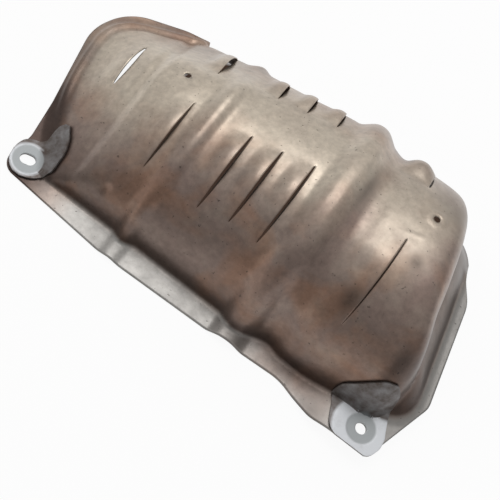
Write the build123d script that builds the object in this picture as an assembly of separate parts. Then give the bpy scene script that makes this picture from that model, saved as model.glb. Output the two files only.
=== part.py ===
from build123d import *
import math
import os
import numpy as np

# Pressed sheet-steel exhaust heat shield, lying hollow side down. Millimetres.
# X runs along the barrel, -Y is the bolted front, Z is up, and z = 0 is the surface it lies on.
# Places below are drawn from the barrel's own datum.
# The finished parts move to the middle of their plan box.
middle_x = -3.59
middle_y = 0.83

# Sheet stock
sheet_thickness = 1.0
plate_thickness = 1.6
plate_seat_gap = 0.4

# Barrel: an arch across Y whose size changes along X
spine_y = 2.0
front_reach = 85.0
back_reach_stations = [(-170, 80), (-100, 84), (-40, 89), (30, 99), (100, 100), (160, 96)]
crown_stations = [(-170, 54), (-120, 55), (-85, 64), (-40, 74), (10, 84), (60, 88), (100, 90), (160, 84)]
arch_fullness = 2.15
foot_softness = 0.02
foot_bend = 7.0

# Cross ribs and the waist beside the dome
left_rib_x = -66.0
left_rib_width = 22.0
left_rib_rise = 5.0
right_rib_x = 31.0
right_rib_width = 33.0
right_rib_rise = 7.5
waist_x = 56.0
waist_width = 28.0
waist_depth = 3.0

# Dome at the right end, cut off on a slant; its front corner is fuller and rounder
dome_end_x = 136.0
dome_end_sharpness = 3.0
dome_end_slant = 0.20
dome_end_reach = 44.0
dome_front_extra = 12.0
dome_front_sharpness = 1.7
dome_front_start_y = -16.0
dome_front_full_y = -58.0
dome_front_fullness = 2.2
dome_back_fullness = 3.0

# Low shelf round the foot of the dome
shelf_end_x = 156.5
shelf_front_y = -76.0
shelf_back_y = 84.0
shelf_start_x = 95.0
shelf_height = 20.0
shelf_front_rise = 30.0
shelf_rise_start_y = 0.0
shelf_rise_full_y = -52.0
shelf_wall_slope = 1.6
shelf_top_slope = 0.8
shelf_fade_slope = 1.2
shelf_corner = 34.0
shelf_bend = 10.0

# Sloping left end: its foot is three straight sides in plan, rounded into each other
left_foot_corners = [(-124, -88), (-161, -22), (-169, 47), (-100, 86)]
left_foot_level = 8.0
left_foot_front_corner = 16.0
left_foot_back_corner = 22.0
left_end_slope = 0.95
left_end_bend = 8.0
shoulder_groove_x = -119.5
shoulder_groove_width = 12.0
shoulder_groove_depth = 2.0
skirt_slope = 0.62
skirt_bend = 3.0
skirt_start_x = -118.0
skirt_full_x = -148.0

# Front and right flange
flange_lift = 0.4
left_ear_level = 1.6
left_ear_start_y = -52.0
left_ear_full_y = -74.0
left_rib_flange_rise = 2.3
right_rib_flange_rise = 5.0
right_ear_level = 8.0
right_ear_start_x = 84.0
right_ear_full_x = 126.0

# The back has no flange: its wall runs down to the lying surface
back_drop = 14.0
back_drop_start_y = 56.0
back_drop_full_y = 74.0
back_drop_start_x = -112.0
back_drop_full_x = -98.0

# Trim line in plan: corner x, corner y, corner radius
trim_corners = [
    (-164, -94, 11), (-70, -102, 60), (16, -99.5, 60), (78, -96, 40), (108, -106.5, 25), (155, -106, 11),
    (173.5, -48, 16), (158, 38, 30), (146, 56, 20), (132, 116, 10), (-96, 116, 4), (-99, 92, 5),
    (-128, 85, 40), (-170, 67, 40), (-182, 36, 40), (-166, -32, 60), (-160.5, -64, 24),
]

# Louvres: slit x, slit front end y, slit back end y, hood rise
front_louvres = [
    (-138, -6, 33, 3), (-82, -54, 0, 4), (-37, -57, 0, 4.2), (-14.5, -55, 2, 4.2), (8.5, -55, 6, 4.2),
    (85.5, -62, 1, 3),
]
back_louvres = [
    (-84, 35, 74, 4.4), (-40, 43, 74, 4.6), (-18, 45, 76, 4.6), (4, 49, 78, 4.6), (79.5, 53, 80, 6),
]
louvre_width = 15.0
louvre_slit = 1.6
pocket_depth = 3.0
louvre_sink = 0.45
louvre_overrun = 0.06

# Bolt holes and locating holes
bolt_hole_diameter = 8.5
left_slot_length = 11.5
left_slot_angle = 15.0
left_bolt = (-151, -80)
right_bolt = (141, -92)
locating_hole_diameter = 5.0
locating_holes = [(-99, 19), (95, 29)]

# Ear plates: y of a section, left edge x, right edge x
left_plate_edges = [
    (-93.5, -154, -148), (-91, -158.5, -142), (-87, -161.5, -137.2), (-82, -163.2, -134),
    (-77, -163.6, -131.3), (-71, -162.5, -131.6), (-66.5, -159, -131.8), (-63, -151.5, -132.4),
    (-59, -148.3, -133.7), (-53, -148.3, -136.6), (-48.5, -147.8, -139.8), (-45, -145.5, -142),
]
right_plate_edges = [
    (-107, 128, 152.5), (-105, 123.5, 155.5), (-101, 120, 157.7), (-95, 117.3, 159.3), (-89, 115, 158.8),
    (-84, 112.6, 156.8), (-81, 110.6, 155.6), (-79, 111.6, 154.8), (-76, 118.3, 153.6), (-72, 126.5, 151.8),
    (-69, 132, 150), (-66.5, 138, 148.4), (-65, 141, 146.5),
]

# Sampling of the pressed surface and room round the trimming tools
shell_stations = 68
shell_rows = 52
plate_stations = 26
plate_rows = 20
bend_weight = 8.0
trim_margin = 5.0
prism_height = 140.0


def blend_low(a, b, radius):
    """Lower of two heights, with the fold between them rounded."""
    overlap = np.clip(radius - np.abs(a - b), 0, None) / radius
    return np.minimum(a, b) - overlap * overlap * radius / 4


def blend_high(a, b, radius):
    """Higher of two heights, with the fold between them rounded."""
    return -blend_low(-a, -b, radius)


def swell(x, centre, width):
    """One raised-cosine wave: 1 at the centre, 0 from half a width away."""
    share = np.clip(np.abs(x - centre) / (width / 2), 0, 1)
    return 0.5 + 0.5 * np.cos(np.pi * share)


def broad_swell(x, centre, width):
    """The same wave with a flatter top and steeper sides."""
    wave = swell(x, centre, width)
    return wave * (1.5 - 0.5 * wave)


def ease(value, start, end):
    """0 at start, 1 at end, with level ends."""
    share = np.clip((value - start) / (end - start), 0, 1)
    return share * share * (3 - 2 * share)


def through(x, stations):
    """Smooth curve through (x, value) stations that never overshoots them."""
    xs, values = np.array(stations, float).T
    step = np.diff(xs)
    rise = np.diff(values) / step
    slope = np.concatenate([rise[:1], np.zeros(len(xs) - 2), rise[-1:]])
    steady = rise[:-1] * rise[1:] > 0
    slope[1:-1][steady] = (2 * rise[:-1] * rise[1:])[steady] / (rise[:-1] + rise[1:])[steady]
    x = np.clip(x, xs[0], xs[-1])
    i = np.clip(np.searchsorted(xs, x, side="right") - 1, 0, len(xs) - 2)
    t = (x - xs[i]) / step[i]
    near = (1 + 2 * t) * (1 - t) ** 2 * values[i] + t * (1 - t) ** 2 * step[i] * slope[i]
    far = t * t * (3 - 2 * t) * values[i + 1] - t * t * (1 - t) * step[i] * slope[i + 1]
    return near + far


def rib_lift(x):
    """How far the ribs and the waist push the arch out or in at x."""
    ribs = left_rib_rise * swell(x, left_rib_x, left_rib_width)
    ribs = ribs + right_rib_rise * broad_swell(x, right_rib_x, right_rib_width)
    return ribs - waist_depth * swell(x, waist_x, waist_width)


def front_half(x):
    return front_reach + rib_lift(x)


def back_half(x):
    return through(x, back_reach_stations) + rib_lift(x)


def slanted_end(x, y, end_x):
    """Distance in X from the right end's slanted line, positive inside."""
    return end_x - dome_end_slant * (y - spine_y) - x


def barrel_height(x, y):
    """Superellipse arch that closes in a rounded dome at its right end."""
    across = np.where(y < spine_y, (spine_y - y) / front_half(x), (y - spine_y) / back_half(x))
    front = ease(-y, -dome_front_start_y, -dome_front_full_y)
    end = slanted_end(x, y, dome_end_x + dome_front_extra * front)
    sharpness = dome_end_sharpness + (dome_front_sharpness - dome_end_sharpness) * front
    along = np.clip(1 - end / dome_end_reach, 0, None) ** sharpness
    fullness = np.where(y < spine_y, dome_front_fullness, dome_back_fullness)
    outward = (across ** fullness + along ** fullness) ** (1 / fullness)
    inside = 1 - outward ** arch_fullness
    soft = math.sqrt(foot_softness)
    domed = np.sqrt(np.clip(inside, 0, None) + foot_softness) - soft
    arch = np.where(inside > 0, domed, inside / (2 * soft))
    full_arch = math.sqrt(1 + foot_softness) - soft
    return (through(x, crown_stations) + rib_lift(x)) * arch / full_arch


def inside_left_foot(x, y):
    """Plan distance inside the left end's foot, negative out on the skirt."""
    sides = []
    for (x0, y0), (x1, y1) in zip(left_foot_corners, left_foot_corners[1:]):
        length = math.hypot(x1 - x0, y1 - y0)
        sides.append(((x - x0) * (y1 - y0) - (y - y0) * (x1 - x0)) / length)
    front = blend_low(sides[0], sides[1], left_foot_front_corner)
    return blend_low(front, sides[2], left_foot_back_corner)


def left_end_height(x, y):
    """Flat slope up from the left foot, with a groove where it meets the barrel."""
    slope = left_foot_level + left_end_slope * inside_left_foot(x, y)
    return slope - shoulder_groove_depth * swell(x, shoulder_groove_x, shoulder_groove_width)


def shelf_height_at(x, y):
    """Step between the dome's wall and the right flange, rising at the front to fill the corner."""
    end = slanted_end(x, y, shelf_end_x)
    inward = blend_low(blend_low(end, y - shelf_front_y, shelf_corner), shelf_back_y - y, shelf_corner)
    wall = right_ear_level + shelf_wall_slope * inward
    top = shelf_height + shelf_top_slope * inward
    top = top + shelf_front_rise * ease(-y, -shelf_rise_start_y, -shelf_rise_full_y)
    return blend_low(wall, top, shelf_bend) + shelf_fade_slope * np.minimum(0, x - shelf_start_x)


def flange_height(x, y):
    """Upper face of the flange: flat front, turned-down left skirt, raised right ear, none at the back."""
    lowest = sheet_thickness + flange_lift
    skirt = left_foot_level + skirt_slope * np.minimum(inside_left_foot(x, y), 0)
    skirt = blend_high(skirt, lowest, skirt_bend)
    skirt = skirt + (left_ear_level - skirt) * ease(-y, -left_ear_start_y, -left_ear_full_y)
    front = lowest + right_ear_level * ease(x, right_ear_start_x, right_ear_full_x)
    front = front + left_rib_flange_rise * swell(x, left_rib_x, left_rib_width)
    front = front + right_rib_flange_rise * broad_swell(x, right_rib_x, right_rib_width)
    level = front + (skirt - front) * ease(-x, -skirt_start_x, -skirt_full_x)
    behind = ease(y, back_drop_start_y, back_drop_full_y) * ease(x, back_drop_start_x, back_drop_full_x)
    return level - back_drop * behind


def sheet_height(x, y):
    """Upper face of the pressed sheet."""
    body = blend_low(barrel_height(x, y), left_end_height(x, y), left_end_bend)
    body = blend_high(body, shelf_height_at(x, y), foot_bend)
    return blend_high(body, flange_height(x, y), foot_bend)


def sheet_normals(x, y):
    """Outward unit normals of the sheet's upper face."""
    step = 0.05
    slope_x = (sheet_height(x + step, y) - sheet_height(x - step, y)) / (2 * step)
    slope_y = (sheet_height(x, y + step) - sheet_height(x, y - step)) / (2 * step)
    stretch = np.sqrt(1 + slope_x ** 2 + slope_y ** 2)
    return np.stack([-slope_x, -slope_y, np.ones_like(stretch)], axis=-1) / stretch[..., None]


def sheet_points(x, y, lift=0.0):
    """Points of the sheet's upper face, moved out along its normal by lift."""
    on_face = np.stack([x, y, sheet_height(x, y)], axis=-1)
    return on_face + np.asarray(lift)[..., None] * sheet_normals(x, y)


def even_steps(points, places, count):
    """Places that split a run of points, or of rows of points, into equal lengths."""
    hops = np.sqrt(np.mean(np.sum(np.diff(points, axis=0) ** 2, axis=-1), axis=-1))
    travel = np.concatenate([[0], np.cumsum(hops)])
    return np.interp(np.linspace(0, travel[-1], count), travel, places)


def section_plan(station, edges):
    """Plan points of one section, evenly spaced along the sheet and closer together at its bends."""
    y = np.linspace(edges[0], edges[1], 1500)
    slant = dome_end_slant * ease(station, right_rib_x, dome_end_x)
    x = station - slant * (y - spine_y)
    curve = np.concatenate([sheet_points(x, y), bend_weight * sheet_normals(x, y)], axis=-1)
    even = even_steps(curve[:, None, :], y, shell_rows)
    return np.stack([station - slant * (even - spine_y), even])


def shell_plan():
    """Grid of plan points that covers the trim line with a margin all round."""
    x, y, radius = np.array(trim_corners, float).T
    edges = (y.min() - trim_margin, y.max() + trim_margin)
    trial = np.linspace(x.min() - trim_margin, x.max() + trim_margin, 4 * shell_stations)
    plan = np.array([section_plan(station, edges) for station in trial])
    chosen = even_steps(sheet_points(plan[:, 0], plan[:, 1]), trial, shell_stations)
    plan = np.array([section_plan(station, edges) for station in chosen])
    return plan[:, 0], plan[:, 1]


def loft_between(upper, lower):
    """Solid between two grids of points, lofted from row to row."""
    hops = np.linalg.norm(np.diff(upper, axis=1), axis=-1)
    shares = (hops / hops.sum(axis=1, keepdims=True)).mean(axis=0)
    parameters = [0.0] + [float(share) for share in np.cumsum(shares)]
    wires = []
    for over, under in zip(upper.tolist(), lower.tolist()):
        top = Edge.make_spline([Vector(*point) for point in over], parameters=parameters)
        bottom = Edge.make_spline([Vector(*point) for point in under], parameters=parameters)
        ends = [Edge.make_line(Vector(*over[end]), Vector(*under[end])) for end in (0, -1)]
        wires.append(Wire([top, ends[1], bottom, ends[0]]))
    return Solid.make_loft(wires)


def sheet_between(x, y, bottom_lift, thickness):
    """Sheet of even thickness that follows the pressed form over a grid of plan points."""
    layers = []
    for lift in (bottom_lift + thickness, bottom_lift):
        layer = sheet_points(x, y, lift)
        layer[[0, -1]] = sheet_points(x[[0, -1]], y[[0, -1]]) + [0, 0, lift]
        layers.append(layer)
    return loft_between(*layers)


def trim_prism():
    """Upright block over the trim line."""
    points = [(x, y) for x, y, radius in trim_corners]
    radii = [radius for x, y, radius in trim_corners]
    outline = FilletPolyline(*points, radius=radii, close=True)
    return extrude(make_face(outline.edges()), amount=prism_height)


def louvre_block(louvre, top_lift, bottom_lift, slit):
    """Block under a hood that climbs to its slit and is highest at mid-length."""
    slit_x, front_y, back_y, hood_rise = louvre
    share = np.linspace(-louvre_overrun, 1 + louvre_overrun, 11)[:, None]
    run = np.linspace(-louvre_overrun, 1, 6)[None, :]
    x = slit_x - louvre_width + (louvre_width + slit) * run + 0 * share
    y = front_y + (back_y - front_y) * share + 0 * run
    climb = np.clip((x - slit_x + louvre_width) / louvre_width, 0, 1)
    rise = hood_rise * climb * np.clip(4 * share * (1 - share), 0, 1)
    layers = [sheet_points(x, y, top_lift + rise), sheet_points(x, y, bottom_lift + 0 * rise)]
    for layer in layers:
        layer[[0, -1], :, 1] = y[[0, -1], :]
    return loft_between(*layers)


def hood(louvre):
    """Raised metal of one louvre, down to the middle of the sheet."""
    return louvre_block(louvre, -louvre_sink, -sheet_thickness / 2, 0)


def pocket(louvre):
    """Hollow under one hood, open through the slit beside it."""
    under = -sheet_thickness
    return louvre_block(louvre, under - louvre_sink, under - pocket_depth, louvre_slit)


def left_slot():
    slot = Rot(0, 0, left_slot_angle) * SlotOverall(left_slot_length, bolt_hole_diameter)
    return extrude(Pos(*left_bolt) * slot, amount=prism_height)


def round_bore(centre, diameter):
    return extrude(Pos(*centre) * Circle(diameter / 2), amount=prism_height)


def shield_shell():
    """One pressed sheet with its louvres and holes."""
    louvres = front_louvres + back_louvres
    blank = sheet_between(*shell_plan(), -sheet_thickness, sheet_thickness)
    sheet = (blank & trim_prism()).fuse(*[hood(louvre) for louvre in louvres])
    holes = [left_slot(), round_bore(right_bolt, bolt_hole_diameter)]
    holes += [round_bore(centre, locating_hole_diameter) for centre in locating_holes]
    return sheet.cut(*[pocket(louvre) for louvre in louvres], *holes)


def plate_plan(edges, sections):
    """Grid of plan points from a plate's left edge to its right edge."""
    y = np.repeat(np.array(sections)[:, None], plate_rows, axis=1)
    left = through(y, [(place, left) for place, left, right in edges])
    right = through(y, [(place, right) for place, left, right in edges])
    return left + (right - left) * np.linspace(0, 1, plate_rows), y


def ear_plate(edges, hole):
    """Doubler that follows the shell's upper face, with one bolt hole."""
    trial = np.linspace(edges[0][0], edges[-1][0], 4 * plate_stations)
    sections = even_steps(sheet_points(*plate_plan(edges, trial)), trial, plate_stations)
    x, y = plate_plan(edges, sections)
    return sheet_between(x, y, plate_seat_gap, plate_thickness) - hole


os.makedirs("parts", exist_ok=True)
right_hole = round_bore(right_bolt, bolt_hole_diameter)
pieces = {
    "shield_shell": shield_shell(),
    "left_ear_plate": ear_plate(left_plate_edges, left_slot()),
    "right_ear_plate": ear_plate(right_plate_edges, right_hole),
}
for name, piece in pieces.items():
    export_step(Pos(-middle_x, -middle_y, 0) * piece, f"parts/{name}.step")
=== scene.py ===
import math
import bpy
import numpy as np
from mathutils import Matrix


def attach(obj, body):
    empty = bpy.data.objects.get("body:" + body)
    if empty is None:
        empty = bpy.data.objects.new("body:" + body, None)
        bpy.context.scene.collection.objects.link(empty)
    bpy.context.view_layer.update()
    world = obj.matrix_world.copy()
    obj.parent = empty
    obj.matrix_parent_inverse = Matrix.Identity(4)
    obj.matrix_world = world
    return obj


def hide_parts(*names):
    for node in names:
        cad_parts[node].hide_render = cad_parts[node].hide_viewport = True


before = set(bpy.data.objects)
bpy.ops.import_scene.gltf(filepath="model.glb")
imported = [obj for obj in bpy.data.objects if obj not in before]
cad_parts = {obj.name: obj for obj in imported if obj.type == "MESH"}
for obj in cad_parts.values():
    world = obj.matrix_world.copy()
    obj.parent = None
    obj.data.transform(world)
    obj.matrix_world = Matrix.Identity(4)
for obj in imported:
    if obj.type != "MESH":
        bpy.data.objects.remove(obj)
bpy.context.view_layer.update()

bl_info = {
    "name": "Pressed steel heat shield",
    "version": (1, 0, 0),
    "blender": (4, 5, 0),
    "location": "3D View > Sidebar > Heat shield",
    "description": "Presses a heat tinted exhaust shield with hooded louvres and doubled bolt ears",
    "category": "Add Mesh",
}

# Lengths in the tables are millimetres from the barrel's own datum, as on the tool that presses the sheet.
# The finished pieces move to the middle of their plan box and turn into metres.
datum_to_row = np.array([3.59, -0.83, 0.0])
mm = 0.001

# Barrel: plan axis, reach of its front and back foot and height of its crown, as (x, value) stations
barrel_axis_y = 2
front_reach = 85
back_reach_stations = [(-170, 80), (-100, 84), (-40, 89), (30, 99), (100, 100), (160, 96)]
crown_stations = [
    (-170, 54), (-120, 55), (-85, 64), (-40, 74), (10, 84), (60, 88), (100, 90), (160, 84),
]
front_fullness, back_fullness = 2.2, 3.0
arch_power = 2.15
foot_softness = 0.02
# Cross ribs and waist: (middle x, width), then how far they stand out or in
left_rib, left_rib_rise, left_rib_flange_rise = (-66, 22), 5.0, 2.3
right_rib, right_rib_rise, right_rib_flange_rise = (31, 33), 7.5, 5
waist, waist_depth = (56, 28), 3.0
# Dome at the right end: foot, length, sharpness, and what changes towards its front corner
dome_end_x, dome_end_reach, dome_sharpness = 136, 44, 3
dome_front_extra, dome_front_softening = 12, 1.3
end_slant = 0.2
# Left end: corners of its foot in plan, height there and slope above it
left_foot_corners = [(-124, -88), (-161, -22), (-169, 47), (-100, 86)]
left_foot_height, left_end_slope, left_groove, left_groove_depth = 8, 0.95, (-119.5, 13), 2.4
# Shelf round the dome's foot: its sides in plan, their rounding, and its wall and top
shelf_end_x, shelf_front_y, shelf_back_y, shelf_rounding, shelf_start_x = 156.5, -76, 84, 34, 95
shelf_foot, shelf_wall_slope, shelf_top, shelf_top_slope, shelf_front_rise = 8, 1.6, 20, 0.8, 30
# Flange: height, rise of the right ear, slope of the left skirt, and how far it drops behind the barrel
flange_level, right_ear_rise, skirt_slope, back_drop = 1.4, 8, 0.62, 14
# Trim line: corner x, corner y, corner radius, from the front left corner round by the right
trim_corners = np.array([
    (-164, -94, 11), (-70, -102, 60), (16, -99.5, 60), (78, -96, 40), (108, -106.5, 25), (155, -106, 11),
    (173.5, -48, 16), (158, 38, 30), (146, 56, 20), (132, 116, 10), (-96, 116, 4), (-99, 92, 5),
    (-128, 85, 40), (-170, 67, 40), (-182, 36, 40), (-166, -32, 60), (-160.5, -64, 24),
], float)
front_left, front_right, back_right, tab_corner, left_back = 0, 5, 9, 11, 13
tab_x, trim_back_y = -99, 116
# Louvres: slit x, front end y, back end y, widest gap, hood rise, hood width
louvres = np.array([
    (-138, -6, 33, 2.0, 2.0, 14), (-82, -54, 0, 0.4, 3.4, 14), (-37, -56, 0, 1.3, 4.2, 15),
    (-14.5, -54, 2, 1.3, 4.2, 15), (8.5, -54, 6, 1.3, 4.2, 15), (85.5, -62, 1, 0.6, 2.2, 15),
    (-84, 35, 82, 0.5, 5.5, 14), (-40, 43, 74, 0.5, 4.8, 14), (-18, 45, 76, 0.5, 4.8, 14),
    (4, 49, 78, 0.5, 4.8, 14), (79.5, 53, 80, 1.0, 7.0, 26),
], float)
lip_sink, lip_reach, lip_lean = 0.7, 7, 0.2
# A hood wider than this rolls further over before its slit
broad_hood, broad_roll, narrow_roll = 20, 0.82, 0.62
# Ear plates: section y, left edge x, right edge x
left_plate_edges = np.array([
    (-93.5, -154, -148), (-91, -158.5, -142), (-87, -161.5, -137.2), (-82, -163.2, -134),
    (-77, -163.6, -131.3), (-71, -162.5, -131.6), (-66.5, -159, -131.8), (-63, -151.5, -132.4),
    (-59, -148.3, -133.7), (-53, -148.3, -136.6), (-48.5, -147.8, -139.8), (-45, -145.5, -142),
])
right_plate_edges = np.array([
    (-107, 128, 152.5), (-105, 123.5, 155.5), (-101, 120, 157.7), (-95, 117.3, 159.3),
    (-89, 115, 158.8), (-84, 112.6, 156.8), (-81, 110.6, 155.6), (-79, 111.6, 154.8),
    (-76, 118.3, 153.6), (-72, 126.5, 151.8), (-69, 132, 150), (-66.5, 138, 148.4), (-65, 141, 146.5),
])
left_bolt = (-151.0, -80.0)
right_bolt = (141.0, -92.0)
slot_turn = math.radians(15)
# Clamp ring: full depth inside the inner radius, none outside the outer one
ring_inner, ring_outer, ring_depth = 10.6, 11.3, 0.2
locating_holes = [(-99.0, 19.0), (95.0, 29.0)]
# Dents: depth, x, y, size
dents = [(0.9, *locating_holes[0], 4.5), (0.8, -96, 12, 5), (1.3, -94, -73, 2.4), (0.5, 73, -10, 9)]
# Soft spots of painted light and tone, as strength, x, y, size along X, size along Y: less brown paints
# highlights on the left end, between slit E and the right rib and on the dome; more brown paints shade in
# the waist and darkens the rib's crest and the dome's top right
painted_light_and_tone_spots = [
    (-0.25, 73, -10, 10, 13), (-0.55, -108, -6, 28, 34), (-0.5, 17, -4, 7, 22), (0.2, 32, -6, 6, 24),
    (0.3, 118, 5, 14, 40), (0.5, 50, 5, 7, 50),
]
# Greasy smudges, with the same columns; the long one in the waist valley and the faint broad one on the
# dome are painted shade
smudge_and_shade_spots = [
    (1.0, 79, -50, 6.5, 7.5), (0.7, 46, 16, 4, 18), (0.9, 99, -9, 6, 6), (0.5, 110, 48, 22, 16),
    (0.16, 80, -4, 15, 20),
]
# Grid of the shell: ends of the straight sections, columns of the two end patches, points of their borders
left_patch_x, right_patch_x, right_foot_x = -156.0, 112.0, 144.5
left_columns, right_columns, border_points, foot_points = 14, 40, 500, 120
plate_rows, plate_columns = 64, 56
same_place = 1e-6


def linear(hex_colour):
    """sRGB hex text to linear red, green and blue."""
    srgb = np.array([int(hex_colour[i:i + 2], 16) for i in (1, 3, 5)]) / 255
    return tuple(float(c) for c in np.where(srgb <= 0.04045, srgb / 12.92, ((srgb + 0.055) / 1.055) ** 2.4))


def blend_low(a, b, radius):
    """Lower of two heights, less a parabola where they are closer than radius."""
    overlap = np.clip(radius - np.abs(a - b), 0, None) / radius
    return np.minimum(a, b) - overlap * overlap * radius / 4


def blend_high(a, b, radius):
    """Higher of two heights, with the same rounded fold."""
    return -blend_low(-a, -b, radius)


def swell(x, centre, width):
    """Raised cosine: 1 at the centre, 0 from half a width away."""
    return 0.5 + 0.5 * np.cos(np.pi * np.clip(np.abs(x - centre) / (width / 2), 0, 1))


def broad_swell(x, centre, width):
    """The same wave with a flatter top and steeper sides."""
    wave = swell(x, centre, width)
    return wave * (1.5 - 0.5 * wave)


def ease(value, start, end):
    """Cubic step with level ends: 0 at start, 1 at end."""
    share = np.clip((value - start) / (end - start), 0, 1)
    return share * share * (3 - 2 * share)


def through(x, stations):
    """Cubic Hermite curve through (x, value) stations; harmonic mean slopes keep it from overshooting."""
    xs, values = np.array(stations, float).T
    step = np.diff(xs)
    rise = np.diff(values) / step
    slope = np.concatenate([rise[:1], np.zeros(len(xs) - 2), rise[-1:]])
    steady = rise[:-1] * rise[1:] > 0
    slope[1:-1][steady] = (2 * rise[:-1] * rise[1:])[steady] / (rise[:-1] + rise[1:])[steady]
    x = np.clip(x, xs[0], xs[-1])
    i = np.clip(np.searchsorted(xs, x, side="right") - 1, 0, len(xs) - 2)
    t = (x - xs[i]) / step[i]
    near = (1 + 2 * t) * (1 - t) ** 2 * values[i] + t * (1 - t) ** 2 * step[i] * slope[i]
    return near + t * t * (3 - 2 * t) * values[i + 1] - t * t * (1 - t) * step[i] * slope[i + 1]


def rib_lift(x):
    """Two cross ribs pushed out and one waist drawn in."""
    ribs = left_rib_rise * swell(x, *left_rib) + right_rib_rise * broad_swell(x, *right_rib)
    return ribs - waist_depth * swell(x, *waist)


def slanted_end(x, y, end_x):
    """Distance in X from the right end's slanted line, positive inside."""
    return end_x - end_slant * (y - barrel_axis_y) - x


def barrel_height(x, y):
    """Superellipse arch across Y, closed by a dome along +X, steep at the back and rounder at the front."""
    lift = rib_lift(x)
    ahead = y < barrel_axis_y
    back_reach = through(x, back_reach_stations)
    across = np.abs(y - barrel_axis_y) / (np.where(ahead, front_reach, back_reach) + lift)
    front = ease(-y, 16, 58)
    along = 1 - slanted_end(x, y, dome_end_x + dome_front_extra * front) / dome_end_reach
    along = np.clip(along, 0, None) ** (dome_sharpness - dome_front_softening * front)
    fullness = np.where(ahead, front_fullness, back_fullness)
    inside = 1 - ((across ** fullness + along ** fullness) ** (1 / fullness)) ** arch_power
    soft = math.sqrt(foot_softness)
    arch = np.sqrt(np.clip(inside, 0, None) + foot_softness) - soft
    arch = np.where(inside > 0, arch, inside / (2 * soft))
    return (through(x, crown_stations) + lift) * arch / (math.sqrt(1 + foot_softness) - soft)


def inside_left_foot(x, y):
    """Plan distance inside the three rounded sides of the left foot, negative out on the skirt."""
    sides = []
    for (x0, y0), (x1, y1) in zip(left_foot_corners, left_foot_corners[1:]):
        sides.append(((x - x0) * (y1 - y0) - (y - y0) * (x1 - x0)) / math.hypot(x1 - x0, y1 - y0))
    return blend_low(blend_low(sides[0], sides[1], 16), sides[2], 22)


def shelf_height(x, y):
    """Step between the dome's wall and the right flange, rising to fill the front corner."""
    inward = blend_low(slanted_end(x, y, shelf_end_x), y - shelf_front_y, shelf_rounding)
    inward = blend_low(inward, shelf_back_y - y, shelf_rounding)
    top = shelf_top + shelf_top_slope * inward + shelf_front_rise * ease(-y, 0, 52)
    wall = shelf_foot + shelf_wall_slope * inward
    return blend_low(wall, top, 10) + 1.2 * np.minimum(0, x - shelf_start_x)


def flange_height(x, y):
    """Flat front flange, turned-down left skirt and raised right ear, dropping away behind the wall."""
    skirt = left_foot_height + skirt_slope * np.minimum(inside_left_foot(x, y), 0)
    skirt = blend_high(skirt, flange_level, 3)
    skirt = skirt + (flange_level + 0.2 - skirt) * ease(-y, 52, 74)
    ribs = left_rib_flange_rise * swell(x, *left_rib) + right_rib_flange_rise * broad_swell(x, *right_rib)
    front = flange_level + right_ear_rise * ease(x, 84, 126) + ribs
    level = front + (skirt - front) * ease(-x, 118, 148)
    return level - back_drop * ease(y, 56, 74) * ease(x, -112, -98)


def sheet_height(x, y):
    """Upper face of the sheet: barrel, grooved left end, shelf and flange, folded into each other."""
    left_end = left_foot_height + left_end_slope * inside_left_foot(x, y)
    left_end = left_end - left_groove_depth * swell(x, *left_groove)
    body = blend_low(barrel_height(x, y), left_end, 8)
    body = blend_high(body, shelf_height(x, y), 7)
    return blend_high(body, flange_height(x, y), 7)


def sheet_normals(x, y, step=0.05):
    """Outward unit normals from central differences of the height."""
    slope_x = (sheet_height(x + step, y) - sheet_height(x - step, y)) / (2 * step)
    slope_y = (sheet_height(x, y + step) - sheet_height(x, y - step)) / (2 * step)
    normal = np.stack([-slope_x, -slope_y, np.ones_like(slope_x)], axis=-1)
    return normal / np.linalg.norm(normal, axis=-1, keepdims=True)


def rounded_outline(corners, arc_points=15):
    """Closed polygon with each corner replaced by a tangent arc, its radius turned evenly."""
    points, radius = corners[:, :2], corners[:, 2:]
    before = np.roll(points, 1, axis=0) - points
    after = np.roll(points, -1, axis=0) - points
    before = before / np.linalg.norm(before, axis=1, keepdims=True)
    after = after / np.linalg.norm(after, axis=1, keepdims=True)
    half = np.arccos(np.sum(before * after, axis=1, keepdims=True)) / 2
    middle = before + after
    centre = points + middle / np.linalg.norm(middle, axis=1, keepdims=True) * radius / np.sin(half)
    turn = (math.pi - 2 * half)[:, None]
    share = np.linspace(0, 1, arc_points)[None, :, None]
    first = (points + before * radius / np.tan(half) - centre)[:, None]
    last = (points + after * radius / np.tan(half) - centre)[:, None]
    spokes = (np.sin((1 - share) * turn) * first + np.sin(share * turn) * last) / np.sin(turn)
    return centre[:, None] + spokes


def evenly(curve, count):
    """Points at equal steps of length along a polyline."""
    hops = np.linalg.norm(np.diff(curve, axis=0), axis=1)
    travel = np.concatenate([[0], np.cumsum(hops)])
    share = np.linspace(0, travel[-1], count)
    return np.stack([np.interp(share, travel, axis) for axis in curve.T], axis=-1)


def coons_patch(left, right, front, back, columns):
    """Plan grid between four curves: both ruled surfaces added, less the bilinear one of the corners."""
    left, right = evenly(left, border_points), evenly(right, border_points)
    front, back = evenly(front, columns), evenly(back, columns)
    u = np.linspace(0, 1, columns)[:, None, None]
    v = np.linspace(0, 1, border_points)[None, :, None]
    ruled = (1 - u) * left[None] + u * right[None] + (1 - v) * front[:, None] + v * back[:, None]
    corner = (1 - u) * ((1 - v) * left[0] + v * left[-1]) + u * ((1 - v) * right[0] + v * right[-1])
    return ruled - corner


def wall_foot(x, low=30.0, high=116.0, rim=0.6):
    """The y where the back wall comes down to the rim's height, found by halving the span."""
    low, high = np.full_like(x, low), np.full_like(x, high)
    for _ in range(40):
        middle = (low + high) / 2
        above = sheet_height(x, middle) > rim
        low, high = np.where(above, middle, low), np.where(above, high, middle)
    return low


def section_places(spacing):
    """Places of the straight sections, which take in every slit and are spaced evenly between them."""
    keys = np.unique(np.concatenate([[left_patch_x, right_patch_x], louvres[:, 0]]))
    runs = [np.linspace(a, b, math.ceil((b - a) / spacing) + 1)[:-1] for a, b in zip(keys, keys[1:])]
    return np.concatenate(runs + [[right_patch_x]])


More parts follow.
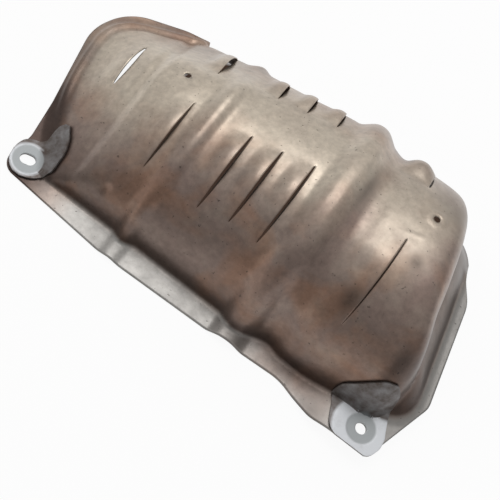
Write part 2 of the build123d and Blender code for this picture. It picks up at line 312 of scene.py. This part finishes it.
def shell_plan(spacing, rows):
    """Plan grid of the trimmed sheet: straight sections between patches that follow the end trim lines."""
    arcs = rounded_outline(trim_corners)
    loop = arcs.reshape(-1, 2)

    def middle_of(corner):
        return corner * arcs.shape[1] + arcs.shape[1] // 2

    front_line = loop[middle_of(front_left):middle_of(front_right) + 1]
    right_line = loop[middle_of(front_right):middle_of(back_right)]
    left_line = np.concatenate([loop[middle_of(left_back):], loop[:middle_of(front_left) + 1]])[::-1]
    back_line = loop[middle_of(tab_corner):middle_of(left_back) + 1][::-1]

    places = section_places(spacing)
    front_y = np.interp(places, *front_line.T)
    trim_y = np.where(places < tab_x, np.interp(places, *back_line.T), trim_back_y)
    span = np.minimum(trim_y, wall_foot(places)) - front_y
    section_y = front_y[:, None] + span[:, None] * np.linspace(0, 1, border_points)
    straight = np.stack([np.repeat(places[:, None], border_points, 1), section_y], -1)

    front_part = np.concatenate([front_line[front_line[:, 0] < left_patch_x], straight[:1, 0]])
    back_part = np.concatenate([back_line[back_line[:, 0] < left_patch_x], straight[:1, -1]])
    left = coons_patch(left_line, straight[0], front_part, back_part, left_columns)

    foot_x = np.linspace(right_patch_x, right_foot_x, foot_points)
    foot = np.stack([foot_x, wall_foot(foot_x)], -1)
    gap = np.linalg.norm(right_line[:, None] - foot[None], axis=-1)
    upper, meet = np.unravel_index(np.argmin(gap), gap.shape)
    right_side = np.concatenate([right_line[:upper], foot[meet:meet + 1]])
    front_part = np.concatenate([straight[-1:, 0], front_line[front_line[:, 0] > right_patch_x]])
    right = coons_patch(straight[-1], right_side, front_part, foot[:meet + 1], right_columns)

    plan = np.concatenate([left[:-1], straight, right[1:]])
    height = sheet_height(plan[..., 0], plan[..., 1])
    curves = np.concatenate([plan, height[..., None]], -1)
    return np.array([evenly(curve, rows)[:, :2] for curve in curves])


def louvre_shift(x, y, beyond):
    """Lift along the normal and push along X: a bow along each slit times a leaning sine crest."""
    slit, front, back, gap, rise, hood_width = (column[:, None] for column in louvres.T)
    lens = np.clip(1 - ((y - (front + back) / 2) / ((back - front) / 2)) ** 2, 0, 1)
    over = np.clip(1 - (slit - x) / hood_width, 0, 1) * (x <= slit + same_place)
    left_side = (x < slit - same_place) | ((np.abs(x - slit) <= same_place) & ~beyond)
    roll = np.where(hood_width > broad_hood, broad_roll, narrow_roll)
    climb = np.sin(over * math.pi * roll) ** 1.6 * left_side
    sunk = np.clip(1 - (x - slit) / lip_reach, 0, 1) ** 2 * (~left_side) * (x >= slit - same_place)
    near = np.clip(1 - np.abs(x - slit) / 5, 0, 1)
    push = np.where(left_side, -0.5, 0.5) * gap * lens ** 0.12 * near
    lift = lens ** 1.5 * (rise * climb - lip_sink * sunk)
    return np.sum(lift, axis=0), np.sum(push + lip_lean * np.clip(lift, 0, None) * near, axis=0)


def fine_form(x, y):
    """Small marks and the unevenness of used sheet: round dents, a flat pad, a crease and low waves."""
    from_hole = np.hypot(x - locating_holes[1][0], y - locating_holes[1][1])
    lift = 0.9 * ease(-from_hole, -8.5, -5.5) - 1.3 * np.exp(-(from_hole / 3.6) ** 2)
    for depth, dent_x, dent_y, size in dents:
        lift = lift - depth * np.exp(-(np.hypot(x - dent_x, y - dent_y) / size) ** 2)
    crease_y = 0.5 + 0.5 * (x - 75) - 0.004 * (x - 75) ** 2
    lift = lift + 0.35 * np.exp(-((y - crease_y) / 1.6) ** 2) * swell(x, 88, 30)
    lift = lift + 0.16 * np.sin(x / 11.0 + 0.7 * np.sin(y / 17.0)) * np.sin(y / 13.0 + 0.5)
    return lift + 0.1 * np.sin(x / 5.3 + y / 9.7) * np.sin(y / 6.1 - x / 14.0)


def rim_bead(x, y):
    """Rolled left rim: a rounded ridge on the skirt with a groove inside it, faded out to the left ear."""
    out = -inside_left_foot(x, y)
    roll = 1.7 * np.exp(-((out - 5.5) / 2.4) ** 2) - 1.0 * np.exp(-((out - 1.0) / 2.0) ** 2)
    return roll * ease(-x, 101, 118) * ease(y, -50, -15)


def hole_offset(x, y, hole):
    """Plan offset from a round hole's centre or a slot's centre line, and its length."""
    centre_x, centre_y, half_length, turn = hole[:4]
    along = (x - centre_x) * math.cos(turn) + (y - centre_y) * math.sin(turn)
    along = np.clip(along, -half_length, half_length)
    offset = np.stack([x - centre_x - along * math.cos(turn), y - centre_y - along * math.sin(turn)], -1)
    return offset, np.linalg.norm(offset, axis=-1)


def punch(x, y, faces, holes):
    """Drops the faces inside each hole and draws the edge that is left onto the hole's outline."""
    for hole in holes:
        offset, away = hole_offset(x, y, hole)
        radius = hole[4]
        inside = away[faces].mean(axis=1) < radius
        edge = np.intersect1d(faces[inside], faces[~inside])
        pull = offset[edge] * (radius / away[edge] - 1)[:, None]
        x[edge], y[edge] = x[edge] + pull[:, 0], y[edge] + pull[:, 1]
        faces = faces[~inside]
    return x, y, faces


def used_only(faces, points):
    """Leaves out points that no face uses."""
    kept, fresh = np.unique(faces, return_inverse=True)
    return fresh.reshape(faces.shape), points[kept]


def bolt_holes(form):
    """The left slot and the right round hole: centre, half length of the centre line, turn, radius."""
    radius = form.bolt_hole / mm / 2
    half_length = form.slot_length / mm / 2 - radius
    return [(*left_bolt, half_length, slot_turn, radius), (*right_bolt, 0.0, 0.0, radius)]


def shell_surface(form):
    """Points, quads and tint of the sheet's upper face, with its slits cut open and its holes punched."""
    plan = shell_plan(form.grid_spacing / mm, form.grid_rows)
    columns, rows = plan.shape[:2]
    x, y = plan[..., 0].ravel(), plan[..., 1].ravel()
    index = np.arange(columns * rows).reshape(columns, rows)
    right_of = index.copy()
    for slit, front, back in louvres[:, :3]:
        column = int(np.argmin(np.abs(plan[left_columns:-right_columns, 0, 0] - slit))) + left_columns
        opened = index[column][(plan[column, :, 1] > front) & (plan[column, :, 1] < back)]
        right_of[column, opened - index[column, 0]] = len(x) + np.arange(len(opened))
        x, y = np.concatenate([x, x[opened]]), np.concatenate([y, y[opened]])
    beyond = np.arange(len(x)) >= columns * rows
    left, right = right_of[:-1], index[1:]
    faces = np.stack([left[:, :-1], right[:, :-1], right[:, 1:], left[:, 1:]], -1).reshape(-1, 4)
    holes = bolt_holes(form) + [(*place, 0.0, 0.0, form.locating_hole / mm / 2) for place in locating_holes]
    x, y, faces = punch(x, y, faces, holes)
    lift, push = louvre_shift(x, y, beyond)
    x = x + push
    height = sheet_height(x, y)
    lift = lift + ease(height, 1.0, 14.0) * fine_form(x, y) + rim_bead(x, y)
    normals = sheet_normals(x, y)
    points = np.stack([x, y, height], -1) + lift[:, None] * normals
    points[:, 2] = np.maximum(points[:, 2], form.sheet_thickness / mm * normals[:, 2])
    faces, points = used_only(faces, points)
    return points, faces, shell_tint(points)


def plate_edge_shadow(x, y):
    """1 along the plates' side edges, fading over 2 mm by the distance in X: painted shadow of the gap
    under the plates.
    """
    dirt = np.zeros_like(x)
    for edges in (left_plate_edges, right_plate_edges):
        front, back = edges[0, 0], edges[-1, 0]
        within = ease(y, front, front + 3) * ease(-y, -back - 2, -back)
        for side in (1, 2):
            line = through(y, edges[:, [0, side]])
            dirt = np.maximum(dirt, within * np.exp(-((x - line) / 2.0) ** 2))
    return dirt


def soft_spots(x, y, table):
    """Sum of bells in plan, each its strength times e to the minus squared distance over its sizes."""
    total = np.zeros_like(x)
    for strength, spot_x, spot_y, wide, long in table:
        total = total + strength * np.exp(-((x - spot_x) / wide) ** 2 - ((y - spot_y) / long) ** 2)
    return total


def shell_tint(points):
    """Heat, dirt and painted light by place: red is brown oxide, low where the crown and spots are pale,
    green soot, baked brown and painted shade, blue the clean flange, alpha smudges and painted shade.
    """
    x, y, z = points.T
    skirt = ease(-inside_left_foot(x, y), -4, 4) * ease(-x, 110, 130)
    # Paler along the crown: partly the steel's own paler tone, partly a painted highlight where the top
    # faces the light
    pale_crown_and_highlight = np.exp(-((y - 24) / np.where(y < 24, 44, 54)) ** 2)
    pale_crown_and_highlight = pale_crown_and_highlight * (1 - 0.12 * ease(x, 10, 50) - 0.4 * ease(x, 96, 122))
    brown = 1 - 0.95 * pale_crown_and_highlight * (1 - 0.7 * skirt) + soft_spots(x, y, painted_light_and_tone_spots)

    level = flange_height(x, y)
    # Painted shade in the fold where the walls come down to the flange; the low walls themselves are baked
    # brown
    foot = np.exp(-((z - level - 5) / 8) ** 2) * np.maximum(ease(-y, 60, 80), 0.9 * ease(x, 128, 142))
    front_wall = ease(-y, 34, 80) * ease(-z, -66, -6)
    right_wall = 1.6 * ease(x, 122, 132) * ease(-z, -82, -54)
    walls = np.clip(0.45 * np.maximum(front_wall, right_wall) + 0.22 * foot, 0, 1)
    # Painted shade on the turned-down left skirt, deeper towards the front
    skirt = skirt * (0.6 * ease(-y, -50, 10) + 0.4 * ease(-y, 5, 30))
    soot_and_shade = np.maximum(walls, np.maximum(skirt, plate_edge_shadow(x, y)))

    clean = np.maximum(ease(-y, 78, 88), ease(x, 140, 152))
    clean = ease(level + 3.5 - z, 0, 3) * ease(x, -146, -100) * clean
    clean = clean * (1 - 0.85 * swell(x, 84, 90) * ease(y, -104, -86))
    clean = clean * (1 - 0.25 * ease(x, 12, 36) * ease(-x, -130, -110))
    # Darker on the flange towards the right ear, with painted shade on its slope up to the right ear and
    # where it crosses the right rib
    flange_darkening = 0.3 * ease(x, 120, 150) + 0.5 * swell(x, 108, 40) + 0.35 * swell(x, 31, 40)
    smudge_and_shade = soft_spots(x, y, smudge_and_shade_spots) + clean * flange_darkening
    return np.stack([np.clip(brown, 0, 1), soot_and_shade * (1 - clean), clean, np.clip(smudge_and_shade, 0, 1)], -1)


def plate_surface(edges, hole, form):
    """Points and quads of a plate's upper face: rows between its side edges, laid over the sheet."""
    y = np.linspace(edges[0, 0], edges[-1, 0], plate_rows)
    left, right = through(y, edges[:, [0, 1]]), through(y, edges[:, [0, 2]])
    x = left[:, None] + (right - left)[:, None] * np.linspace(0, 1, plate_columns)
    y = np.repeat(y[:, None], plate_columns, axis=1)
    index = np.arange(x.size).reshape(x.shape)
    faces = np.stack([index[:-1, :-1], index[:-1, 1:], index[1:, 1:], index[1:, :-1]], -1).reshape(-1, 4)
    x, y, faces = punch(x.ravel(), y.ravel(), faces, [hole])
    from_bolt = hole_offset(x, y, hole)[1]
    pressed = ring_depth * ease(-from_bolt, -ring_outer, -ring_inner)
    lift = (form.plate_gap + form.plate_thickness) / mm - pressed
    points = np.stack([x, y, sheet_height(x, y)], -1) + lift[:, None] * sheet_normals(x, y)
    return used_only(faces, points)


def add_piece(name, points, faces, tint=None):
    """Puts arrays of points and quads into a new smooth mesh object at the origin."""
    mesh = bpy.data.meshes.new(name)
    mesh.from_pydata(((points + datum_to_row) * mm).tolist(), [], faces.tolist())
    mesh.polygons.foreach_set("use_smooth", np.ones(len(faces), bool))
    if tint is not None:
        layer = mesh.attributes.new("tint", "FLOAT_COLOR", "POINT")
        layer.data.foreach_set("color", tint.astype(np.float32).ravel())
    mesh.update()
    piece = bpy.data.objects.new(name, mesh)
    bpy.context.scene.collection.objects.link(piece)
    return piece


def thicken(piece, thickness, edge=0.0):
    """Gives a face its thickness inwards and breaks its stamped edges."""
    solid = piece.modifiers.new("Sheet thickness", "SOLIDIFY")
    solid.thickness = thickness
    solid.offset = -1
    if edge:
        bevel = piece.modifiers.new("Broken edge", "BEVEL")
        bevel.width = edge
        bevel.segments = 2
        bevel.limit_method = "ANGLE"
        bevel.angle_limit = math.radians(50)


def add_node(tree, kind, links=None, **settings):
    """Adds one node, sets its own settings and fills its inputs with values or links."""
    node = tree.nodes.new(kind)
    for key, value in settings.items():
        setattr(node, key, value)
    for key, value in (links or {}).items():
        if isinstance(value, bpy.types.NodeSocket):
            tree.links.new(value, node.inputs[key])
        else:
            node.inputs[key].default_value = value
    return node


def mixed(tree, share, first, second, **settings):
    """Colour between a first and a second one, each a socket or red, green and blue."""
    first, second = (
        colour if isinstance(colour, bpy.types.NodeSocket) else (*colour, 1) for colour in (first, second))
    node = add_node(tree, "ShaderNodeMix", {0: share, 6: first, 7: second}, data_type="RGBA", **settings)
    return node.outputs[2]


def ranged(tree, value, source, target):
    """Value carried from a source range to a target range, held at its ends."""
    return add_node(tree, "ShaderNodeMapRange", {
        "Value": value, "From Min": source[0], "From Max": source[1],
        "To Min": target[0], "To Max": target[1]}).outputs[0]


def worked(tree, operation, *values, **settings):
    """Result of one sum on two or three values."""
    node = add_node(tree, "ShaderNodeMath", dict(enumerate(values)), operation=operation, **settings)
    return node.outputs[0]


def vector_node(tree, operation, *values):
    """Node for one sum on one or two vectors."""
    return add_node(tree, "ShaderNodeVectorMath", dict(enumerate(values)), operation=operation)


def noise(tree, place, size, detail, roughness=0.5, distortion=0.0):
    """Soft noise with blobs of about the given size in metres."""
    return add_node(tree, "ShaderNodeTexNoise", {
        "Vector": place, "Scale": 1 / size, "Detail": detail,
        "Roughness": roughness, "Distortion": distortion}).outputs["Fac"]


def upward(tree, normal):
    """Z of a normal: 1 where the surface looks straight up."""
    geometry = add_node(tree, "ShaderNodeNewGeometry")
    return add_node(tree, "ShaderNodeSeparateXYZ", {0: geometry.outputs[normal]}).outputs["Z"]


def new_material(name):
    """Empty node material and its tree."""
    material = bpy.data.materials.new(name)
    material.use_nodes = True
    material.node_tree.nodes.clear()
    return material, material.node_tree


def heat_tinted_steel(finish):
    """Coated steel that has been hot: satin, brown where it baked, paler on the crown with a painted
    highlight, grey where clean, darker where shade is painted in.
    """
    material, tree = new_material("Heat tinted pressed steel")
    place = add_node(tree, "ShaderNodeTexCoord").outputs["Object"]
    marks = add_node(tree, "ShaderNodeAttribute", attribute_name="tint")
    tint = add_node(tree, "ShaderNodeSeparateColor", {"Color": marks.outputs["Color"]})
    # Cloudy oxide about 30 mm across
    cloud = noise(tree, place, 0.030, 5.0, 0.6)
    uneven = worked(tree, "SUBTRACT", cloud, 0.5)
    brown = worked(tree, "MULTIPLY_ADD", uneven, 0.9, tint.outputs["Red"], use_clamp=True)
    # Straw and amber patches about 45 mm across in the brown
    patch = noise(tree, place, 0.045, 3.0, distortion=0.6)
    amber = ranged(tree, patch, (0.44, 0.62), (0.0, 0.6))
    oxide = mixed(tree, amber, finish.brown_oxide, finish.amber_oxide)
    # Pale steel where the tint's red is low, on the crown and in the spots where highlights are painted in
    base = mixed(tree, brown, finish.pale_steel_and_highlight, oxide)
    # Baked brown from the tint's green on the low walls, with painted shade at their foot, on the skirt and
    # along the plates' edges
    base = mixed(tree, tint.outputs["Green"], base, finish.baked_brown_and_shade)
    base = mixed(tree, tint.outputs["Blue"], base, finish.clean_flange)
    # Mottle about 5 mm across
    mottle = noise(tree, place, 0.005, 4.0, 0.65)
    shade = ranged(tree, mottle, (0.3, 0.7), (0.82, 1.12))
    base = mixed(tree, 1.0, base, shade, blend_type="MULTIPLY")
    # Dark specks and pits of 1 to 2 mm, far apart
    pits = ranged(tree, noise(tree, place, 0.0026, 2.0), (0.69, 0.75), (0.0, 0.6))
    base = mixed(tree, pits, base, finish.soot_and_shade)
    # Greasy smudges and painted shade from the tint's alpha, broken up by the mottle
    broken = ranged(tree, mottle, (0.3, 0.7), (0.45, 0.9))
    base = mixed(tree, worked(tree, "MULTIPLY", marks.outputs["Alpha"], broken), base, finish.soot_and_shade)
    # The hollow side faces down and is baked dark
    inside = ranged(tree, upward(tree, "True Normal"), (-0.02, -0.06), (0.0, 1.0))
    base = mixed(tree, inside, base, finish.baked_inside)
    rough = ranged(tree, cloud, (0.3, 0.7), (0.30, 0.44))
    bump = add_node(tree, "ShaderNodeBump", {"Height": mottle, "Strength": 0.25, "Distance": 0.0003})
    shader = add_node(tree, "ShaderNodeBsdfPrincipled", {
        "Base Color": base, "Metallic": 0.85, "Roughness": rough, "Normal": bump.outputs[0],
        "Coat Weight": 0.25, "Coat Roughness": 0.3})
    add_node(tree, "ShaderNodeOutputMaterial", {"Surface": shader.outputs[0]})
    return material


def dull_plate_steel(finish, bolt, pad_reach):
    """Stamped steel doubler: dull grey-brown, rubbed bright and cool where the bolt's flange clamped it."""
    material, tree = new_material("Stamped plate steel")
    place = add_node(tree, "ShaderNodeTexCoord").outputs["Object"]
    flat = vector_node(tree, "MULTIPLY", place, (1, 1, 0)).outputs[0]
    centre = [(a + b) * mm for a, b in zip(bolt, datum_to_row)]
    away = vector_node(tree, "DISTANCE", flat, (*centre, 0)).outputs["Value"]
    ring = ranged(tree, away, (0.0102, 0.0116), (1.0, 0.0))
    # Cloudy dulling about 9 mm across
    cloud = noise(tree, place, 0.009, 5.0, 0.6)
    # The flat foot is rubbed paler than the part that climbs the wall
    foot = ranged(tree, upward(tree, "Normal"), (0.92, 0.985), (-0.35, 0.5))
    # Pale within the pad's reach of the bolt and darker beyond it; on the right plate the darker part is
    # painted shade on its slope down towards the flange
    pad = ranged(tree, away, (pad_reach, pad_reach + 0.002), (0.5, -0.35))
    pale = worked(tree, "ADD", cloud, worked(tree, "MINIMUM", foot, pad), use_clamp=True)
    base = mixed(tree, pale, finish.plate_dark, finish.plate_pale)
    base = mixed(tree, ring, base, finish.clamp_ring)
    bump = add_node(tree, "ShaderNodeBump", {"Height": cloud, "Strength": 0.2, "Distance": 0.0004})
    shader = add_node(tree, "ShaderNodeBsdfPrincipled", {
        "Base Color": base, "Metallic": 0.85, "Roughness": 0.5, "Normal": bump.outputs[0]})
    add_node(tree, "ShaderNodeOutputMaterial", {"Surface": shader.outputs[0]})
    return material


def seen_rays(tree):
    """1 for camera, glossy and transmitted rays, which see the plain white background."""
    path = add_node(tree, "ShaderNodeLightPath")
    seen = worked(tree, "MAXIMUM", path.outputs["Is Camera Ray"], path.outputs["Is Glossy Ray"])
    return worked(tree, "MAXIMUM", seen, path.outputs["Is Transmission Ray"])


def white_paper():
    """Matt white paper sweep: seen nearly white round the shield with a faint shadow left in it, and under
    the barrel painted and glowing in a deep brown shade.
    """
    material, tree = new_material("Matt white paper")
    # The paper round the shield is bright; under the barrel its colour and its glow are painted a deep
    # brown shade
    barrel_middle, half_length, half_width = (0.019, 0.0125, 0), 0.131, 0.0875
    place = add_node(tree, "ShaderNodeTexCoord").outputs["Object"]
    place = vector_node(tree, "SUBTRACT", place, barrel_middle).outputs[0]
    place = vector_node(tree, "MULTIPLY", place, (1 / half_length, 1 / half_width, 0)).outputs[0]
    place = vector_node(tree, "MULTIPLY", place, place).outputs[0]
    away = vector_node(tree, "LENGTH", place).outputs["Value"]
    open_paper = ranged(tree, away, (0.9, 1.0), (0.0, 1.0))
    colour = mixed(tree, open_paper, (0.25, 0.16, 0.11), (0.8, 0.8, 0.8))
    matt = add_node(tree, "ShaderNodeBsdfDiffuse", {"Color": colour})
    shade = mixed(tree, open_paper, (0.055, 0.034, 0.025), (1, 1, 1))
    glow = add_node(tree, "ShaderNodeEmission", {"Color": shade, "Strength": 1.0})
    surface = add_node(tree, "ShaderNodeMixShader", {
        0: worked(tree, "MULTIPLY", seen_rays(tree), 0.93), 1: matt.outputs[0], 2: glow.outputs[0]})
    add_node(tree, "ShaderNodeOutputMaterial", {"Surface": surface.outputs[0]})
    return material


def soft_studio(strength):
    """World that is plain white to the camera and a soft sky to the steel."""
    world = bpy.data.worlds.new("Soft studio")
    world.use_nodes = True
    tree = world.node_tree
    tree.nodes.clear()
    # Bright above, behind and a little to the left of the shield, dimmer in front of it
    direction = add_node(tree, "ShaderNodeTexCoord").outputs["Generated"]
    bright = vector_node(tree, "DOT_PRODUCT", direction, (-0.25, 0.55, 0.8)).outputs["Value"]
    sky = worked(tree, "MULTIPLY", ranged(tree, bright, (-0.5, 0.9), (0.35, 1.1)), strength)
    path = add_node(tree, "ShaderNodeLightPath")
    level = add_node(tree, "ShaderNodeMix", {0: path.outputs["Is Camera Ray"], 2: sky, 3: 1.0})
    light = add_node(tree, "ShaderNodeBackground", {"Color": (1, 1, 1, 1), "Strength": level.outputs[0]})
    add_node(tree, "ShaderNodeOutputWorld", {"Surface": light.outputs[0]})
    return world


def soft_box(power):
    """Large soft lamp above and behind the shield."""
    lamp = bpy.data.lights.new("Soft box", "AREA")
    lamp.energy = power
    lamp.shape = "RECTANGLE"
    lamp.size, lamp.size_y = 0.9, 0.5
    box = bpy.data.objects.new("Soft box", lamp)
    lean = Matrix.Rotation(math.radians(-20), 4, "X")
    box.matrix_world = Matrix.Translation((-0.15, 0.35, 0.95)) @ lean
    return box


def photo_camera(stage):
    """Camera in front of the target at its height angle, with the picture turned by the roll."""
    sin_e, cos_e = math.sin(stage.elevation), math.cos(stage.elevation)
    right, up = np.array([1, 0, 0]), np.array([0, sin_e, cos_e])
    away = np.array([0, -cos_e, sin_e])
    turned_right = right * math.cos(stage.roll) + up * math.sin(stage.roll)
    turned_up = up * math.cos(stage.roll) - right * math.sin(stage.roll)
    eye = np.array(stage.target) + away * stage.distance
    pose = np.eye(4)
    pose[:3] = np.stack([turned_right, turned_up, away, eye], -1)
    lens = bpy.data.cameras.new("Photo camera")
    lens.sensor_fit = "HORIZONTAL"
    lens.angle = 2 * math.atan(stage.frame_width / 2 / stage.distance)
    lens.clip_start, lens.clip_end = 0.01, 20
    camera = bpy.data.objects.new("Photo camera", lens)
    camera.matrix_world = Matrix(pose.tolist())
    return camera


class ShieldForm(bpy.types.PropertyGroup):
    """Sizes of the sheet and its features."""
    sheet_thickness: bpy.props.FloatProperty(
        name="Sheet", description="Sheet thickness", default=0.001, unit="LENGTH")
    plate_thickness: bpy.props.FloatProperty(
        name="Plate", description="Ear plate thickness", default=0.0016, unit="LENGTH")
    plate_gap: bpy.props.FloatProperty(
        name="Plate gap", description="Gap under an ear plate", default=0.0004, unit="LENGTH")
    plate_edge: bpy.props.FloatProperty(
        name="Plate edge", description="Broken edge of an ear plate", default=0.00025, unit="LENGTH")
    bolt_hole: bpy.props.FloatProperty(
        name="Bolt hole", description="Bolt hole diameter", default=0.0085, unit="LENGTH")
    slot_length: bpy.props.FloatProperty(
        name="Slot", description="Left slot's full length", default=0.0115, unit="LENGTH")
    locating_hole: bpy.props.FloatProperty(
        name="Locating hole", description="Diameter of the small holes", default=0.005, unit="LENGTH")
    grid_spacing: bpy.props.FloatProperty(
        name="Grid", description="Largest step between sections", default=0.0014, unit="LENGTH")
    grid_rows: bpy.props.IntProperty(
        name="Rows", description="Points along each section", default=170)


class ShieldFinish(bpy.types.PropertyGroup):
    """Colours of the metal, and how far the pale pads reach from their bolts; beyond the right one the
    plate is painted in shade.
    """
    pale_steel_and_highlight: bpy.props.FloatVectorProperty(
        name="Pale steel", description="Crown", default=linear("#c0b4a4"), subtype="COLOR")
    brown_oxide: bpy.props.FloatVectorProperty(
        name="Brown oxide", description="Baked sheet", default=linear("#87756c"), subtype="COLOR")
    amber_oxide: bpy.props.FloatVectorProperty(
        name="Amber oxide", description="Hotter patches", default=linear("#977057"), subtype="COLOR")
    baked_brown_and_shade: bpy.props.FloatVectorProperty(
        name="Baked brown", description="Low walls", default=linear("#453731"), subtype="COLOR")
    clean_flange: bpy.props.FloatVectorProperty(
        name="Clean flange", description="Flange", default=linear("#999692"), subtype="COLOR")
    baked_inside: bpy.props.FloatVectorProperty(
        name="Baked inside", description="Hollow side", default=linear("#3a2f2a"), subtype="COLOR")
    soot_and_shade: bpy.props.FloatVectorProperty(
        name="Soot", description="Specks", default=linear("#2c2522"), subtype="COLOR")
    plate_dark: bpy.props.FloatVectorProperty(
        name="Plate, dark", description="Plate shade", default=linear("#5b524d"), subtype="COLOR")
    plate_pale: bpy.props.FloatVectorProperty(
        name="Plate, pale", description="Plate", default=linear("#c2c4c7"), subtype="COLOR")
    clamp_ring: bpy.props.FloatVectorProperty(
        name="Clamp ring", description="Rubbed ring", default=linear("#979a9b"), subtype="COLOR")
    left_pad: bpy.props.FloatProperty(
        name="Left pad", description="Pale reach round the left bolt", default=0.0115, unit="LENGTH")
    right_pad: bpy.props.FloatProperty(
        name="Right pad", description="Pale reach round the right bolt", default=0.0205, unit="LENGTH")


class ShieldStage(bpy.types.PropertyGroup):
    """Camera and light."""
    target: bpy.props.FloatVectorProperty(
        name="Target", description="Point looked at", default=(0.01159, -0.03083, 0.0012), subtype="XYZ")
    distance: bpy.props.FloatProperty(
        name="Distance", description="Camera distance", default=0.9, unit="LENGTH")
    elevation: bpy.props.FloatProperty(
        name="Elevation", description="Camera height angle", default=math.radians(62), subtype="ANGLE")
    roll: bpy.props.FloatProperty(
        name="Roll", description="Turn of the picture", default=math.atan2(0.608, 0.794), subtype="ANGLE")
    frame_width: bpy.props.FloatProperty(
        name="Frame", description="Width seen at the target", default=0.3531, unit="LENGTH")
    floor_reach: bpy.props.FloatProperty(
        name="Floor", description="Paper's reach from the middle", default=3.0, unit="LENGTH")
    sky: bpy.props.FloatProperty(
        name="Sky", description="World strength", default=0.75)
    key_power: bpy.props.FloatProperty(
        name="Key", description="Soft box power", default=3.0, unit="POWER")


class ShieldSettings(bpy.types.PropertyGroup):
    """All settings of the heat shield."""
    form: bpy.props.PointerProperty(type=ShieldForm)
    finish: bpy.props.PointerProperty(type=ShieldFinish)
    stage: bpy.props.PointerProperty(type=ShieldStage)


class HEATSHIELD_OT_shell(bpy.types.Operator):
    """Press the shell from one sheet, with its louvres, holes and heat tint"""
    bl_idname = "heat_shield.shell"
    bl_label = "Press the shell"

    def execute(self, context):
        settings = context.scene.heat_shield
        points, faces, tint = shell_surface(settings.form)
        shell = add_piece("pressed_shell", points, faces, tint)
        thicken(shell, settings.form.sheet_thickness)
        shell.data.materials.append(heat_tinted_steel(settings.finish))
        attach(shell, "root")
        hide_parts("shield_shell")
        return {"FINISHED"}


class HEATSHIELD_OT_ear_plates(bpy.types.Operator):
    """Stamp the two ear plates and lay them on the shell"""
    bl_idname = "heat_shield.ear_plates"
    bl_label = "Stamp the ear plates"

    def execute(self, context):
        form, finish = context.scene.heat_shield.form, context.scene.heat_shield.finish
        left_hole, right_hole = bolt_holes(form)
        plates = (
            ("left", left_plate_edges, left_hole, finish.left_pad),
            ("right", right_plate_edges, right_hole, finish.right_pad),
        )
        for side, edges, hole, pad_reach in plates:
            faces, points = plate_surface(edges, hole, form)
            plate = add_piece(side + "_plate", points, faces)
            thicken(plate, form.plate_thickness, form.plate_edge)
            plate.data.materials.append(dull_plate_steel(finish, hole[:2], pad_reach))
            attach(plate, "root")
            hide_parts(side + "_ear_plate")
        return {"FINISHED"}


class HEATSHIELD_OT_stage(bpy.types.Operator):
    """Lay the paper floor, set the soft light and place the camera"""
    bl_idname = "heat_shield.stage"
    bl_label = "Set the stage"

    def execute(self, context):
        scene = context.scene
        stage = scene.heat_shield.stage
        corners = np.array([(-1, -1, 0), (1, -1, 0), (1, 1, 0), (-1, 1, 0)]) * stage.floor_reach
        floor = add_piece("paper_floor", corners / mm - datum_to_row, np.array([[0, 1, 2, 3]]))
        floor.data.materials.append(white_paper())
        scene.world = soft_studio(stage.sky)
        scene.collection.objects.link(soft_box(stage.key_power))
        camera = photo_camera(stage)
        scene.collection.objects.link(camera)
        scene.camera = camera
        scene.view_settings.view_transform = "Standard"
        return {"FINISHED"}


class VIEW3D_PT_heat_shield(bpy.types.Panel):
    """Sidebar panel with the shield's settings and steps"""
    bl_label = "Heat shield"
    bl_idname = "VIEW3D_PT_heat_shield"
    bl_space_type = "VIEW_3D"
    bl_region_type = "UI"
    bl_category = "Heat shield"

    def draw(self, context):
        settings = context.scene.heat_shield
        for group in (settings.form, settings.finish, settings.stage):
            for name in group.__annotations__:
                self.layout.prop(group, name)
        for step in steps:
            self.layout.operator(step.bl_idname)


steps = (HEATSHIELD_OT_shell, HEATSHIELD_OT_ear_plates, HEATSHIELD_OT_stage)
classes = (ShieldForm, ShieldFinish, ShieldStage, ShieldSettings, *steps, VIEW3D_PT_heat_shield)


def register():
    for item in classes:
        bpy.utils.register_class(item)
    bpy.types.Scene.heat_shield = bpy.props.PointerProperty(type=ShieldSettings)


def unregister():
    del bpy.types.Scene.heat_shield
    for item in reversed(classes):
        bpy.utils.unregister_class(item)


def main():
    register()
    bpy.ops.heat_shield.shell()
    bpy.ops.heat_shield.ear_plates()
    bpy.ops.heat_shield.stage()


if __name__ == "__main__":
    main()
